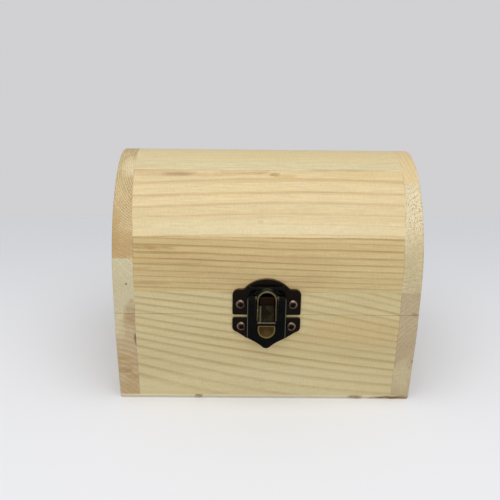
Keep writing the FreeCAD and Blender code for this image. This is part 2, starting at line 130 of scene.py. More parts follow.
class Graph:
    """Short calls for laying nodes in one material or one group."""

    def __init__(self, tree):
        self.tree = tree

    def node(self, kind, *values, **settings):
        """A new node with its settings; the values feed its first inputs in their order."""
        made = self.tree.nodes.new(kind)
        for name, value in settings.items():
            setattr(made, name, value)
        for socket, value in zip(made.inputs, values):
            self.feed(socket, value)
        return made

    def feed(self, socket, value):
        if isinstance(value, bpy.types.NodeSocket):
            self.tree.links.new(value, socket)
        else:
            socket.default_value = value

    def math(self, operation, *values):
        return self.node("ShaderNodeMath", *values, operation=operation).outputs[0]

    def times(self, first, second):
        return self.math("MULTIPLY", first, second)

    def minus(self, first, second):
        return self.math("SUBTRACT", first, second)

    def ramp(self, value, slope, start):
        """slope times value, plus start."""
        return self.math("MULTIPLY_ADD", value, slope, start)

    def vector(self, operation, *values):
        made = self.node("ShaderNodeVectorMath", *values, operation=operation)
        return made.outputs["Value" if operation in ("LENGTH", "DOT_PRODUCT") else "Vector"]

    def split(self, vector):
        return self.node("ShaderNodeSeparateXYZ", vector).outputs

    def join(self, *values):
        return self.node("ShaderNodeCombineXYZ", *values).outputs[0]

    def step(self, value, low, high, start=0.0, end=1.0):
        """A smooth step from start to end as value goes from low to high."""
        made = self.node("ShaderNodeMapRange", interpolation_type="SMOOTHSTEP")
        for name, given in (("Value", value), ("From Min", low), ("From Max", high),
                            ("To Min", start), ("To Max", end)):
            self.feed(made.inputs[name], given)
        return made.outputs[0]

    def band(self, value, low, high, soft):
        """1 between low and high, 0 outside, with soft borders."""
        inside = self.step(value, low - soft, low + soft)
        return self.times(inside, self.step(value, high - soft, high + soft, 1.0, 0.0))

    def noise(self, place, scale, detail=2.0, rough=0.5, line=False):
        made = self.node("ShaderNodeTexNoise", noise_dimensions="1D" if line else "3D")
        self.feed(made.inputs["W" if line else "Vector"], place)
        self.feed(made.inputs["Scale"], scale)
        self.feed(made.inputs["Detail"], detail)
        self.feed(made.inputs["Roughness"], rough)
        return made.outputs[0]

    def mix(self, share, first, second, blend="MIX"):
        made = self.node("ShaderNodeMix", data_type="RGBA", blend_type=blend)
        for index, value in ((0, share), (6, first), (7, second)):
            self.feed(made.inputs[index], value)
        return made.outputs[2]

    def tinge(self, color, mask, share, other):
        """Lays another colour over the masked part, at a share of its full strength."""
        return self.mix(self.times(mask, share), color, other)

    def darken(self, color, factor):
        return self.mix(1.0, color, self.join(factor, factor, factor), "MULTIPLY")

    def use(self, group, **values):
        """Places a group; a name such as Bow_middle stands for the input "Bow middle"."""
        made = self.node("ShaderNodeGroup", node_tree=group)
        for name, value in values.items():
            self.feed(made.inputs[name.replace("_", " ")], value)
        return made.outputs


def effect(name, takes, gives):
    """A new node group: its graph, its input sockets and a call that feeds its outputs."""
    tree = bpy.data.node_groups.new(name, "ShaderNodeTree")
    for label, kind, value in takes:
        socket = tree.interface.new_socket(label, in_out="INPUT", socket_type="NodeSocket" + kind)
        if value is not None:
            socket.default_value = value
    for label, kind in gives:
        tree.interface.new_socket(label, in_out="OUTPUT", socket_type="NodeSocket" + kind)
    graph = Graph(tree)
    start = graph.node("NodeGroupInput")
    end = graph.node("NodeGroupOutput")

    def finish(**values):
        for label, value in values.items():
            graph.feed(end.inputs[label], value)
        return tree
    return graph, start.outputs, finish


# --- effects on wood ---

PLACE = ("Place", "Vector", None)
RING_INPUTS = [
    ("Spacing", "Float", 3.0), ("Growth", "Float", 0.0), ("Wander", "Float", 3.0),
    ("Onset", "Float", 0.55), ("Seed", "Float", 0.0), ("Bow", "Float", 0.0),
    ("Bow middle", "Float", 0.0), ("Phase", "Float", 0.0), ("Uneven", "Float", 0.6),
    ("Fan", "Float", 0.0), ("Fan middle", "Float", 0.0), ("Fan height", "Float", 0.0)]


def make_growth_rings():
    """Year rings round the X axis: pale early wood, darkening to a thin late-wood line."""
    graph, given, finish = effect(
        "growth rings", [PLACE, *RING_INPUTS],
        [("Late", "Float"), ("Tone", "Float")])
    along, across, up = graph.split(given["Place"])[:3]
    reach = graph.minus(along, given["Bow middle"])
    rise = graph.times(graph.times(reach, reach), given["Bow"])
    up = graph.minus(up, rise)
    side = graph.minus(along, given["Fan middle"])
    spread = graph.ramp(graph.times(side, side), given["Fan"], 1.0)
    above = graph.minus(up, given["Fan height"])
    up = graph.ramp(above, spread, given["Fan height"])
    drift = graph.times(given["Seed"], 31.7)
    slow = graph.join(graph.ramp(along, 0.16, drift), across, up)
    broad = graph.minus(graph.noise(slow, 0.045, 1.0), 0.5)
    brisk = graph.minus(graph.noise(slow, 0.3, 2.0), 0.5)
    waver = graph.ramp(brisk, 0.10, broad)
    radius = graph.math("SQRT", graph.math("ADD", graph.times(across, across), graph.times(up, up)))
    radius = graph.ramp(waver, given["Wander"], radius)
    grown = graph.times(radius, graph.ramp(radius, given["Growth"], 1.0))
    count = graph.math("ADD", graph.math("DIVIDE", grown, given["Spacing"]), given["Phase"])
    years = graph.math("ADD", graph.times(count, 0.5), drift)
    uneven = graph.minus(graph.noise(years, 1.0, 1.0, line=True), 0.5)
    ring = graph.ramp(uneven, given["Uneven"], count)
    phase = graph.math("FRACT", ring)
    darkest = 0.85
    year = graph.node("ShaderNodeTexWhiteNoise", noise_dimensions="1D")
    graph.feed(year.inputs["W"], graph.math("ADD", graph.math("FLOOR", ring), drift))
    tone = year.outputs["Value"]
    onset = graph.ramp(tone, -0.15, given["Onset"])
    rise = graph.math("POWER", graph.step(phase, onset, darkest), 1.4)
    fall = graph.step(phase, darkest, 1.0, 1.0, 0.0)
    drawn = graph.vector("MULTIPLY", slow, (0.6, 1.0, 1.0))
    fading = graph.step(graph.noise(drawn, 0.16, 1.0), 0.3, 0.65)
    weight = graph.ramp(tone, 0.35, graph.ramp(fading, 0.35, 0.3))
    late = graph.times(graph.times(rise, fall), weight)
    return finish(Late=late, Tone=tone)


def make_wood_fibres():
    """Fine streaks along the grain, and resin canals that show as dots on end grain."""
    graph, given, finish = effect(
        "wood fibres", [PLACE],
        [("Streak", "Float"), ("Canal", "Float"), ("Cloud", "Float")])
    drawn = graph.vector("MULTIPLY", given["Place"], (0.035, 1.0, 1.0))
    streak = graph.step(graph.noise(drawn, 2.4, 3.0, 0.65), 0.3, 0.7)
    cells = graph.node("ShaderNodeTexVoronoi", voronoi_dimensions="3D")
    graph.feed(cells.inputs["Vector"], graph.vector("MULTIPLY", given["Place"], (0.06, 1.0, 1.0)))
    graph.feed(cells.inputs["Scale"], 1.1)
    chosen = graph.step(graph.split(cells.outputs["Color"])[0], 0.4, 0.6)
    dot = graph.step(cells.outputs["Distance"], 0.10, 0.30, 1.0, 0.0)
    cloud = graph.noise(graph.vector("MULTIPLY", given["Place"], (0.3, 1.0, 1.0)), 0.055, 3.0)
    return finish(Streak=streak, Canal=graph.times(chosen, dot), Cloud=cloud)


def make_sanded_pine(rings, fibres):
    """Colour, roughness and relief of sanded pine with its grain along X."""
    graph, given, finish = effect(
        "sanded pine",
        [PLACE, *RING_INPUTS,
         ("Early wood", "Color", None), ("Late wood", "Color", None),
         ("Heart wood", "Color", None), ("Contrast", "Float", 0.7),
         ("Blush", "Float", 0.2), ("Canals", "Float", 0.1), ("Fibre", "Float", 0.10)],
        [("Color", "Color"), ("Roughness", "Float"), ("Height", "Float")])
    passed_on = {label: given[label] for label, *_ in RING_INPUTS}
    ring = graph.use(rings, Place=given["Place"], **passed_on)
    fibre = graph.use(fibres, Place=given["Place"])
    blush = graph.times(graph.step(fibre["Cloud"], 0.42, 0.68), given["Blush"])
    color = graph.mix(blush, given["Early wood"], given["Heart wood"])
    color = graph.tinge(color, ring["Late"], given["Contrast"], given["Late wood"])
    color = graph.darken(color, graph.ramp(ring["Tone"], 0.06, 0.97))
    shade = graph.ramp(fibre["Streak"], given["Fibre"], graph.ramp(given["Fibre"], -0.7, 1.0))
    color = graph.darken(color, shade)
    # Canals run along the grain of an end panel, so its outer face shows them only faintly.
    normal = graph.node("ShaderNodeTexCoord").outputs["Normal"]
    facing = graph.math("ABSOLUTE", graph.split(normal)[1])
    shown = graph.times(graph.step(facing, 0.1, 0.6, 0.35, 1.0), given["Canals"])
    dots = graph.times(fibre["Canal"], shown)
    color = graph.mix(dots, color, tint(120, 88, 52))
    roughness = graph.ramp(ring["Late"], -0.12, graph.ramp(fibre["Streak"], 0.08, 0.60))
    height = graph.ramp(ring["Late"], 0.5, graph.times(fibre["Streak"], 0.35))
    height = graph.minus(height, dots)
    return finish(Color=color, Roughness=roughness, Height=height)


def make_soft_patch():
    """A soft ragged spot or streak round one point of the chest."""
    graph, given, finish = effect(
        "stain",
        [PLACE, ("Centre", "Vector", None), ("Reach", "Vector", None), ("Ragged", "Float", 0.9)],
        [("Mask", "Float")])
    offset = graph.vector("SUBTRACT", given["Place"], given["Centre"])
    share = graph.vector("DIVIDE", offset, given["Reach"])
    distance = graph.vector("LENGTH", share)
    rough = graph.minus(graph.noise(share, 2.2, 3.0), 0.5)
    distance = graph.ramp(rough, given["Ragged"], distance)
    fibres = graph.noise(graph.vector("MULTIPLY", given["Place"], (0.2, 1.0, 1.0)), 1.3, 3.0)
    near = graph.step(distance, 0.3, 1.0, 1.0, 0.0)
    return finish(Mask=graph.times(near, graph.step(fibres, 0.35, 0.6, 0.6, 1.0)))


def make_glue_lines():
    """Thin broken lines where the end panels and the lid staves are glued."""
    graph, given, finish = effect(
        "glue lines", [PLACE, ("Lid", "Float", 1.0)], [("Mask", "Float")])
    x, y, z = graph.split(given["Place"])[:3]
    above = graph.math("MAXIMUM", graph.minus(z, lean_foot), 0.0)
    lean = graph.times(above, joint_lean)
    gaps = []
    for way, joint in (("ADD", left_joint), ("SUBTRACT", right_joint)):
        off = graph.minus(graph.math(way, x, lean), joint)
        gaps.append(graph.math("ABSOLUTE", off))
    hidden = graph.minus(half_depth, graph.times(given["Lid"], half_depth))
    up = graph.minus(z, arch_centre)
    for angle in map(math.radians, stave_angles):
        off = graph.math("ADD", graph.times(y, math.sin(angle)), graph.times(up, math.cos(angle)))
        side = graph.minus(graph.times(up, math.sin(angle)), graph.times(y, math.cos(angle)))
        behind = graph.times(graph.math("LESS_THAN", side, 0.0), half_depth)
        far = graph.math("ADD", graph.math("ABSOLUTE", off), behind)
        gaps.append(graph.math("ADD", far, hidden))
    nearest = gaps[0]
    for gap in gaps[1:]:
        nearest = graph.math("MINIMUM", nearest, gap)
    line = graph.step(nearest, 0.05, 0.3, 1.0, 0.0)
    broken = graph.step(graph.noise(given["Place"], 0.12, 3.0, 0.6), 0.35, 0.7)
    return finish(Mask=graph.times(line, broken))


def make_sanding_marks():
    """Faint fine marks across the boards, left by the sanding belt."""
    graph, given, finish = effect("sanding marks", [PLACE], [("Mark", "Float")])
    place = graph.vector("MULTIPLY", given["Place"], (1.0, 0.3, 0.3))
    return finish(Mark=graph.step(graph.noise(place, 1.9, 2.0, 0.6), 0.3, 0.7))


GROWTH_RINGS = make_growth_rings()
WOOD_FIBRES = make_wood_fibres()
SANDED_PINE = make_sanded_pine(GROWTH_RINGS, WOOD_FIBRES)
SOFT_PATCH = make_soft_patch()
GLUE_LINES = make_glue_lines()
SANDING_MARKS = make_sanding_marks()


# --- wood materials ---

def new_material(name):
    """An empty material: its graph and its Principled shader."""
    material = bpy.data.materials.new(name)
    material.use_nodes = True
    graph = Graph(material.node_tree)
    shader = material.node_tree.nodes["Principled BSDF"]
    return material, graph, shader


def millimetres(graph):
    """Object coordinates in millimetres."""
    place = graph.node("ShaderNodeTexCoord").outputs["Object"]
    return graph.vector("SCALE", place, (0, 0, 0), (0, 0, 0), 1 / MM)


def grain_place(graph, pith, turn):
    """Coordinates with the pith as X axis, in millimetres. turn is in degrees."""
    rotation = Euler([math.radians(angle) for angle in turn])
    place = graph.node("ShaderNodeTexCoord").outputs["Object"]
    offset = rotation.to_matrix() @ -Vector(pith)
    return graph.node("ShaderNodeMapping", place, offset, rotation, (1 / MM,) * 3).outputs[0]


def dress(graph, shader, color, roughness, height, relief, strength):
    """Feeds a colour, a roughness and a relief, its depth in millimetres, to a shader."""
    graph.feed(shader.inputs["Base Color"], color)
    graph.feed(shader.inputs["Roughness"], roughness)
    bump = graph.node("ShaderNodeBump")
    graph.feed(bump.inputs["Strength"], strength)
    graph.feed(bump.inputs["Distance"], relief * MM)
    graph.feed(bump.inputs["Height"], height)
    graph.feed(shader.inputs["Normal"], bump.outputs[0])


def pine(name, pith, early, late, heart, turn=(0, 0, 0), stains=(), lid=1.0, **grain):
    """Pine of one board. Each entry, a stain or a patch of painted light and shade, is (centre,
    reach, colour, strength).
    """
    material, graph, shader = new_material(name)
    wood = graph.use(SANDED_PINE, Place=grain_place(graph, pith, turn), Early_wood=early,
                     Late_wood=late, Heart_wood=heart, **grain)
    place = millimetres(graph)
    color = wood["Color"]
    for centre, reach, shade, strength in stains:
        mask = graph.use(SOFT_PATCH, Place=place, Centre=centre, Reach=reach)["Mask"]
        color = graph.tinge(color, mask, strength, shade)
    line = graph.use(GLUE_LINES, Place=place, Lid=lid)["Mask"]
    color = graph.tinge(color, line, 0.35, tint(128, 96, 60))
    mark = graph.use(SANDING_MARKS, Place=place)["Mark"]
    color = graph.darken(color, graph.ramp(mark, 0.07, 0.965))
    dress(graph, shader, color, wood["Roughness"], wood["Height"], relief=0.08, strength=0.35)
    shader.inputs["Specular IOR Level"].default_value = 0.3
    return material


BROWN = tint(150, 108, 62)
ORANGE = tint(176, 128, 70)
CREAM = tint(224, 210, 172)
DARK = tint(92, 70, 44)

# Marks in single boards, among them a few patches of painted light and shade: middle and reach in
# millimetres, colour and strength.
CROWN_MARKS = [
    ((0, -3, 103), (120, 10, 3), tint(216, 190, 134), 0.45),
    ((35, -16.4, 99.9), (26, 9, 0.5), BROWN, 0.35),
    ((0, -18.0, 99.5), (2.2, 4, 0.5), DARK, 0.30),
]
UPPER_STAVE_MARKS = [
    ((-46, -18.4, 99.1), (24, 9, 1.8), tint(200, 172, 130), 0.75),
    ((-38, -19.4, 98.6), (10, 5, 0.8), tint(156, 126, 88), 0.70),
    ((-26, -19.8, 98.4), (14, 5, 0.6), tint(194, 164, 120), 0.50),
    ((-16, -18.6, 99.0), (9, 6, 1.0), tint(196, 164, 122), 0.60),
    ((-3, -17.9, 99.2), (6, 5, 0.6), tint(198, 166, 122), 0.60),
    ((42, -19.0, 98.7), (24, 9, 0.8), tint(212, 182, 118), 0.50),
    ((3, -19.2, 98.7), (3.2, 6, 0.7), tint(156, 124, 66), 0.80),
    ((8, -20.2, 98.2), (7, 8, 0.8), tint(204, 166, 104), 0.60),
    ((-6, -18.4, 99.0), (9, 6, 0.6), tint(184, 138, 88), 0.50),
    ((-3.1, -37.1, 83.5), (1.6, 4, 0.8), ORANGE, 0.50),
    ((0, -38.4, 81.0), (90, 9, 4.2), CREAM, 0.50),
]
LOWER_STAVE_MARKS = [
    ((12, -40.6, 77.9), (20, 9, 0.9), tint(176, 124, 66), 0.75),
    ((-50, -42.5, 73.6), (17, 9, 1.2), tint(146, 112, 66), 0.65),
    ((-46, -42.9, 71.6), (22, 9, 1.0), tint(160, 126, 72), 0.55),
    ((-52, -43.4, 69.0), (12, 9, 1.6), tint(186, 158, 98), 0.45),
    ((-40, -43.9, 67.3), (26, 9, 0.7), tint(150, 120, 68), 0.45),
    ((-54, -44.3, 65.0), (7, 9, 0.9), tint(190, 146, 98), 0.60),
    ((-50, -45, 58.7), (16, 9, 1.1), tint(160, 122, 72), 0.45),
    ((0, -42.6, 72.5), (90, 15, 8.0), tint(176, 142, 90), 0.22),
]
BOX_FRONT_MARKS = [
    # Painted light: a pale band across the foot of the front, standing in for light bounced up from
    # the floor.
    ((0, -40, 3), (110, 30, 20), tint(216, 204, 164), 0.40),
    ((-51, -43.1, 21.6), (10, 9, 0.9), BROWN, 0.25),
    ((38, -45, 36), (34, 12, 11), tint(192, 162, 106), 0.45),
]
LEFT_UPPER_MARKS = [
    ((-58.5, -14, 100.5), (6, 14, 6), CREAM, 0.65),
    ((-64.5, -40, 79), (4, 20, 12), tint(168, 134, 78), 0.60),
    ((-61, -42, 74), (9, 12, 8), tint(172, 144, 98), 0.60),
]
LEFT_MIDDLE_MARKS = [
    ((-59.3, -45, 58.2), (0.7, 4, 0.7), DARK, 0.80),
    ((-57.4, -45, 45), (4.4, 12, 8), tint(162, 132, 90), 0.75),
]
LEFT_BOX_MARKS = [
    ((-65.2, -45, 40), (6.5, 12, 11), tint(206, 194, 156), 0.85),
    ((-57.4, -45, 42.5), (4.6, 12, 6.5), tint(162, 132, 90), 0.75),
    ((-62.5, -43, 21.5), (6, 12, 1.5), tint(166, 132, 76), 0.65),
    ((-60, -42.6, 18.4), (7, 12, 1.1), tint(160, 122, 70), 0.45),
    ((-62, -42.3, 15.0), (5, 12, 2.2), tint(150, 114, 58), 0.70),
    ((-58, -41.8, 11.5), (5, 12, 2.4), tint(158, 122, 72), 0.55),
    ((-60, -41, 5), (8, 12, 7), tint(178, 146, 98), 0.60),
    ((-56.5, -44.4, 32), (0.8, 4, 4.5), tint(60, 48, 34), 0.80),
]
RIGHT_MIDDLE_MARKS = [
    # Painted shade: a broad darker, greyer patch over the middle end piece, where its face turns
    # down away from the light.
    ((61, -43, 62), (30, 24, 20), tint(174, 160, 120), 0.72),
]
RIGHT_BOX_MARKS = [
    ((63, -45, 45), (1.9, 8, 1.1), tint(150, 124, 66), 0.80),
    ((64.4, -43, 20.8), (0.9, 5, 1.2), DARK, 0.70),
    ((63.6, -42.4, 17.4), (0.8, 5, 0.9), DARK, 0.60),
    ((65.2, -41.3, 9), (2.2, 8, 6), tint(160, 118, 66), 0.65),
    ((61, -42, 12), (9, 9, 14), tint(200, 187, 148), 0.60),
]
# Chips in the plywood's edge: middle and reach in millimetres.
EDGE_CHIPS = [
    ((-29.7, -40.5, 0.9), (2.6, 4, 1.6)),
    ((41, -40.5, 0.9), (4.5, 4, 1.4)),
    ((56, -40.5, 0.6), (11, 4, 1.3)),
    ((62, -40.5, 0.9), (5, 4, 1.5)),
]


def wood_materials():
    """One pine for each board that was cut from its own plank."""
    back_look = dict(
        early=tint(208, 190, 146), late=tint(170, 138, 88), heart=tint(200, 168, 116),
        Onset=0.6, Contrast=0.75, Blush=0.3)
    boards = {
        "box front pine": dict(
            pith=(0, -20, -31.9), early=tint(201, 186, 141), late=tint(162, 136, 86),
            heart=tint(194, 172, 122), stains=BOX_FRONT_MARKS, lid=0.0, Spacing=7.4,
            Growth=0.0077, Wander=1.5, Onset=0.4, Contrast=0.85, Blush=0.35, Seed=1.0,
            Bow=0.0006, Bow_middle=156.0, Phase=-0.12, Uneven=0.25, Fan=0.00006,
            Fan_middle=15.0, Fan_height=40.0),
        "lower stave pine": dict(
            pith=(0, -30, -60), turn=(0, -1.1, 0), early=tint(199, 177, 127),
            late=tint(138, 110, 64), heart=tint(184, 158, 110), stains=LOWER_STAVE_MARKS,
            Spacing=2.5, Wander=3.5, Onset=0.55, Contrast=0.72, Blush=0.6, Seed=2.0,
            Phase=0.25, Uneven=0.4, Fibre=0.16),
        "upper stave pine": dict(
            pith=(0, -15, -70), early=tint(215, 195, 150), late=tint(186, 150, 100),
            heart=tint(216, 188, 142), stains=UPPER_STAVE_MARKS, Spacing=3.3, Wander=2.2,
            Onset=0.66, Contrast=0.58, Blush=0.3, Seed=3.0, Bow=-0.00024, Bow_middle=15.0,
            Phase=1.12, Uneven=0.25, Fibre=0.16),
        "crown pine": dict(
            pith=(0, -80, 60), early=tint(215, 201, 160), late=tint(196, 174, 124),
            heart=tint(210, 184, 136), stains=CROWN_MARKS, Spacing=1.5, Wander=3.0,
            Onset=0.4, Contrast=0.4, Blush=0.2, Fibre=0.2, Seed=4.0),
        "back pine": dict(
            pith=(0, 90, 20), turn=(0, 4, 0), Spacing=3.6, Wander=6.0, Seed=5.0, **back_look),
        "back stave pine": dict(
            pith=(0, 70, 30), Spacing=3.0, Wander=5.0, Seed=6.0, **back_look),
    }
    ends = {
        "left box end pine": dict(
            pith=(-76, 0, -14), early=tint(190, 172, 136), late=tint(160, 132, 92),
            heart=tint(184, 154, 116), stains=LEFT_BOX_MARKS, Spacing=2.4, Wander=5.0,
            Onset=0.3, Contrast=0.6, Blush=0.5, Canals=0.3, Fibre=0.16, Seed=7.0),
        "left middle end pine": dict(
            pith=(-20, 0, 110), early=tint(198, 188, 154), late=tint(182, 166, 126),
            heart=tint(192, 174, 134), stains=LEFT_MIDDLE_MARKS, Spacing=1.6, Wander=2.0,
            Onset=0.3, Contrast=0.4, Blush=0.3, Canals=0.2, Fibre=0.2, Seed=8.0),
        "left upper end pine": dict(
            pith=(-47, 0, 104), early=tint(203, 183, 138), late=tint(160, 122, 74),
            heart=tint(200, 164, 110), stains=LEFT_UPPER_MARKS, Spacing=0.85, Wander=1.0,
            Onset=0.2, Contrast=0.9, Blush=0.5, Canals=0.5, Fibre=0.32, Seed=9.0),
        "right box end pine": dict(
            pith=(95, 0, 10), early=tint(184, 167, 134), late=tint(162, 139, 107),
            heart=tint(180, 156, 124), stains=RIGHT_BOX_MARKS, Spacing=1.7, Wander=4.0,
            Onset=0.3, Contrast=0.55, Blush=0.5, Canals=0.45, Fibre=0.2, Seed=10.0),
        "right middle end pine": dict(
            pith=(30, 0, 160), early=tint(220, 205, 168), late=tint(196, 176, 132),
            heart=tint(214, 194, 154), stains=RIGHT_MIDDLE_MARKS, Spacing=1.6, Wander=2.0,
            Onset=0.3, Contrast=0.4, Blush=0.7, Canals=1.2, Fibre=0.44, Seed=11.0),
        "right upper end pine": dict(
            pith=(35, 0, 84), early=tint(218, 196, 150), late=tint(196, 160, 108),
            heart=tint(212, 178, 124), Spacing=1.5, Wander=2.0, Onset=0.35, Contrast=0.5,
            Blush=0.6, Canals=0.2, Seed=12.0),
    }
    woods = {name: pine(name, **recipe) for name, recipe in boards.items()}
    for name, recipe in ends.items():
        woods[name] = pine(name, turn=(0, 0, -90), lid=0.0, **recipe)
    woods["plywood"] = plywood()
    return woods


def plywood():
    """Thin plywood: pale face veneers over a greyer core, torn a little along its edge."""
    material, graph, shader = new_material("plywood")
    place = millimetres(graph)
    height = graph.split(place)[2]
    veneer = graph.use(SANDED_PINE, Place=grain_place(graph, (0, 0, -40), (0, 0, 0)),
                       Early_wood=tint(216, 203, 168), Late_wood=tint(196, 174, 130),
                       Heart_wood=tint(208, 186, 144), Spacing=7.0, Contrast=0.5, Seed=20.0)
    fibre = graph.noise(graph.vector("MULTIPLY", place, (0.4, 1.0, 3.0)), 1.6, 3.0)
    core = graph.mix(fibre, tint(166, 160, 140), tint(206, 198, 174))
    wavy = graph.ramp(graph.noise(place, 0.3, 2.0), 0.5, height)
    color = graph.mix(graph.band(wavy, 0.35, 1.35, 0.15), veneer["Color"], core)
    for centre, reach in EDGE_CHIPS:
        chip = graph.use(SOFT_PATCH, Place=place, Centre=centre, Reach=reach)["Mask"]
        color = graph.mix(chip, color, tint(118, 88, 42))
    roughness = graph.ramp(fibre, 0.15, 0.6)
    dress(graph, shader, color, roughness, fibre, relief=0.1, strength=0.4)
    return material


WOOD_OF_NODE = {
    "box_front_board": "box front pine",
    "lid_front_rail": "box front pine",
    "lid_front_lower_stave": "lower stave pine",
    "lid_front_upper_stave": "upper stave pine",
    "lid_crown_stave": "crown pine",
    "lid_back_upper_stave": "back stave pine",
    "lid_back_lower_stave": "back pine",
    "lid_back_rail": "back pine",
    "box_back_board": "back pine",
    "bottom_panel": "plywood",
    "box_left_end": "left box end pine",
    "lid_left_end_lower": "left middle end pine",
    "lid_left_end_middle": "left middle end pine",
    "lid_left_end_upper": "left upper end pine",
    "box_right_end": "right box end pine",
    "lid_right_end_lower": "right box end pine",
    "lid_right_end_middle": "right middle end pine",
    "lid_right_end_upper": "right upper end pine",
}


# --- metal ---

def make_edge_wear():
    """Where a hard edge has lost its plating."""
    graph, given, finish = effect(
        "edge wear", [PLACE, ("Width", "Float", 0.3)], [("Mask", "Float")])
    rounded = graph.node("ShaderNodeBevel", samples=6)
    graph.feed(rounded.inputs["Radius"], graph.times(given["Width"], MM))
    flat = graph.node("ShaderNodeNewGeometry").outputs["Normal"]
    turned = graph.minus(1.0, graph.vector("DOT_PRODUCT", rounded.outputs[0], flat))
    patchy = graph.noise(given["Place"], 0.9, 3.0)
    wear_and_sheen = graph.times(turned, graph.step(patchy, 0.3, 0.6, 0.4, 1.6))
    return finish(Mask=graph.step(wear_and_sheen, 0.01, 0.12))


def make_hasp_ruler():
    """Places on the hasp: across and above the middle of the seam, and off the wood."""
    graph, given, finish = effect(
        "hasp ruler", [PLACE],
        [("Across", "Float"), ("Rise", "Float"), ("Stand", "Float")])
    x, y, z = graph.split(given["Place"])[:3]
    return finish(Across=graph.math("ABSOLUTE", graph.minus(x, hasp_offset)),
                  Rise=graph.minus(z, seam), Stand=graph.minus(-half_depth, y))


def make_screw_rings():
    """The rubbed ring of each hasp screw's head, round its cross slot."""
    graph, given, finish = effect(
        "screw rings", [("Across", "Float", 0.0), ("Rise", "Float", 0.0)], [("Mask", "Float")])
    upper = graph.step(given["Rise"], -0.1, 0.1)
    side = graph.ramp(upper, lid_screw_side - box_screw_side, box_screw_side)
    rise = graph.ramp(upper, lid_screw_rise - box_screw_rise, box_screw_rise)
    offset = graph.join(graph.minus(given["Across"], side), graph.minus(given["Rise"], rise), 0.0)
    return finish(Mask=graph.band(graph.vector("LENGTH", offset), screw_ring_inside,
                                  screw_ring_outside, 0.22))


EDGE_WEAR = make_edge_wear()
HASP_RULER = make_hasp_ruler()
SCREW_RINGS = make_screw_rings()


def plate_metal(graph, shader, color, place, roughness):
    """Colour, uneven gloss and a fine grit for one plated metal."""
    patches = graph.step(graph.noise(place, 0.5, 4.0, 0.6), 0.35, 0.7)
    gloss = graph.ramp(patches, 0.15, roughness)
    grit = graph.noise(place, 3.0, 3.0)
    dress(graph, shader, color, gloss, grit, relief=0.05, strength=0.25)
    shader.inputs["Metallic"].default_value = 0.95


def blackened_base(graph, place, dark, warm):
    patches = graph.step(graph.noise(place, 0.35, 4.0, 0.6), 0.4, 0.75)
    return graph.mix(patches, dark, warm)


def blackened_bronze():
    """Near-black plating, a little brown on its edges: plates, flap and hinges, with painted
    highlights and a painted sheen on the flap and its collar.
    """
    material, graph, shader = new_material("blackened bronze")
    place = millimetres(graph)
    at = graph.use(HASP_RULER, Place=place)
    color = blackened_base(graph, place, tint(9, 10, 10), tint(17, 15, 12))
    edge = graph.use(EDGE_WEAR, Place=place, Width=0.5)["Mask"]
    facing = graph.split(graph.node("ShaderNodeTexCoord").outputs["Normal"])[1]
    border = graph.step(graph.math("ADD", facing, 1.0), 0.02, 0.2)
    low = graph.step(at["Stand"], plate_thickness + 0.05, plate_thickness + 0.2, 1.0, 0.0)
    color = graph.tinge(color, low, 0.32, tint(34, 25, 15))
    color = graph.tinge(color, graph.times(border, low), 0.7, tint(96, 74, 46))
    color = graph.tinge(color, edge, 0.15, tint(92, 84, 62))
    # The flap's folded sides get a pale grey line: worn edges with a painted highlight.
    fold = graph.band(at["Across"], flap_half_width - 0.3, flap_half_width + 0.1, 0.08)
    sides = graph.times(fold, graph.step(at["Stand"], flap_front - 0.5, flap_front - 0.1))
    color = graph.tinge(color, sides, 0.7, tint(96, 96, 86))
    # Painted sheen: the collar's sloping walls are tinted olive in patches, as light catching them.
    hood = graph.step(at["Across"], collar_half_width + 0.4, collar_half_width + 0.7, 1.0, 0.0)
    flank = graph.times(graph.step(at["Stand"], flap_front + 0.7, flap_front + 1.3), hood)
    wear_and_sheen = graph.step(graph.noise(place, 0.6, 3.0), 0.3, 0.6, 0.5, 1.0)
    color = graph.tinge(color, flank, wear_and_sheen, tint(60, 56, 38))
    # Painted highlight: a faint olive line round the outer foot of the collar.
    over = graph.math("MAXIMUM", graph.minus(at["Rise"], hood_centre), 0.0)
    radius = graph.vector("LENGTH", graph.join(at["Across"], over, 0.0))
    foot = graph.band(radius, collar_half_width + 0.05, collar_half_width + 0.45, 0.1)
    foot = graph.times(foot, graph.step(at["Rise"], 4.0, 9.0))
    color = graph.tinge(color, foot, 0.5, tint(66, 64, 46))
    # The collar's crest is rubbed bronze with a painted highlight, painted stronger towards the top
    # of the arch where the light falls.
    crest = graph.step(at["Stand"], collar_front - 0.2, collar_front - 0.02)
    bright = graph.step(at["Rise"], 7.0, 11.5, 0.10, 0.45)
    color = graph.tinge(color, crest, bright, tint(140, 128, 98))
    plate_metal(graph, shader, color, place, 0.36)
    return material


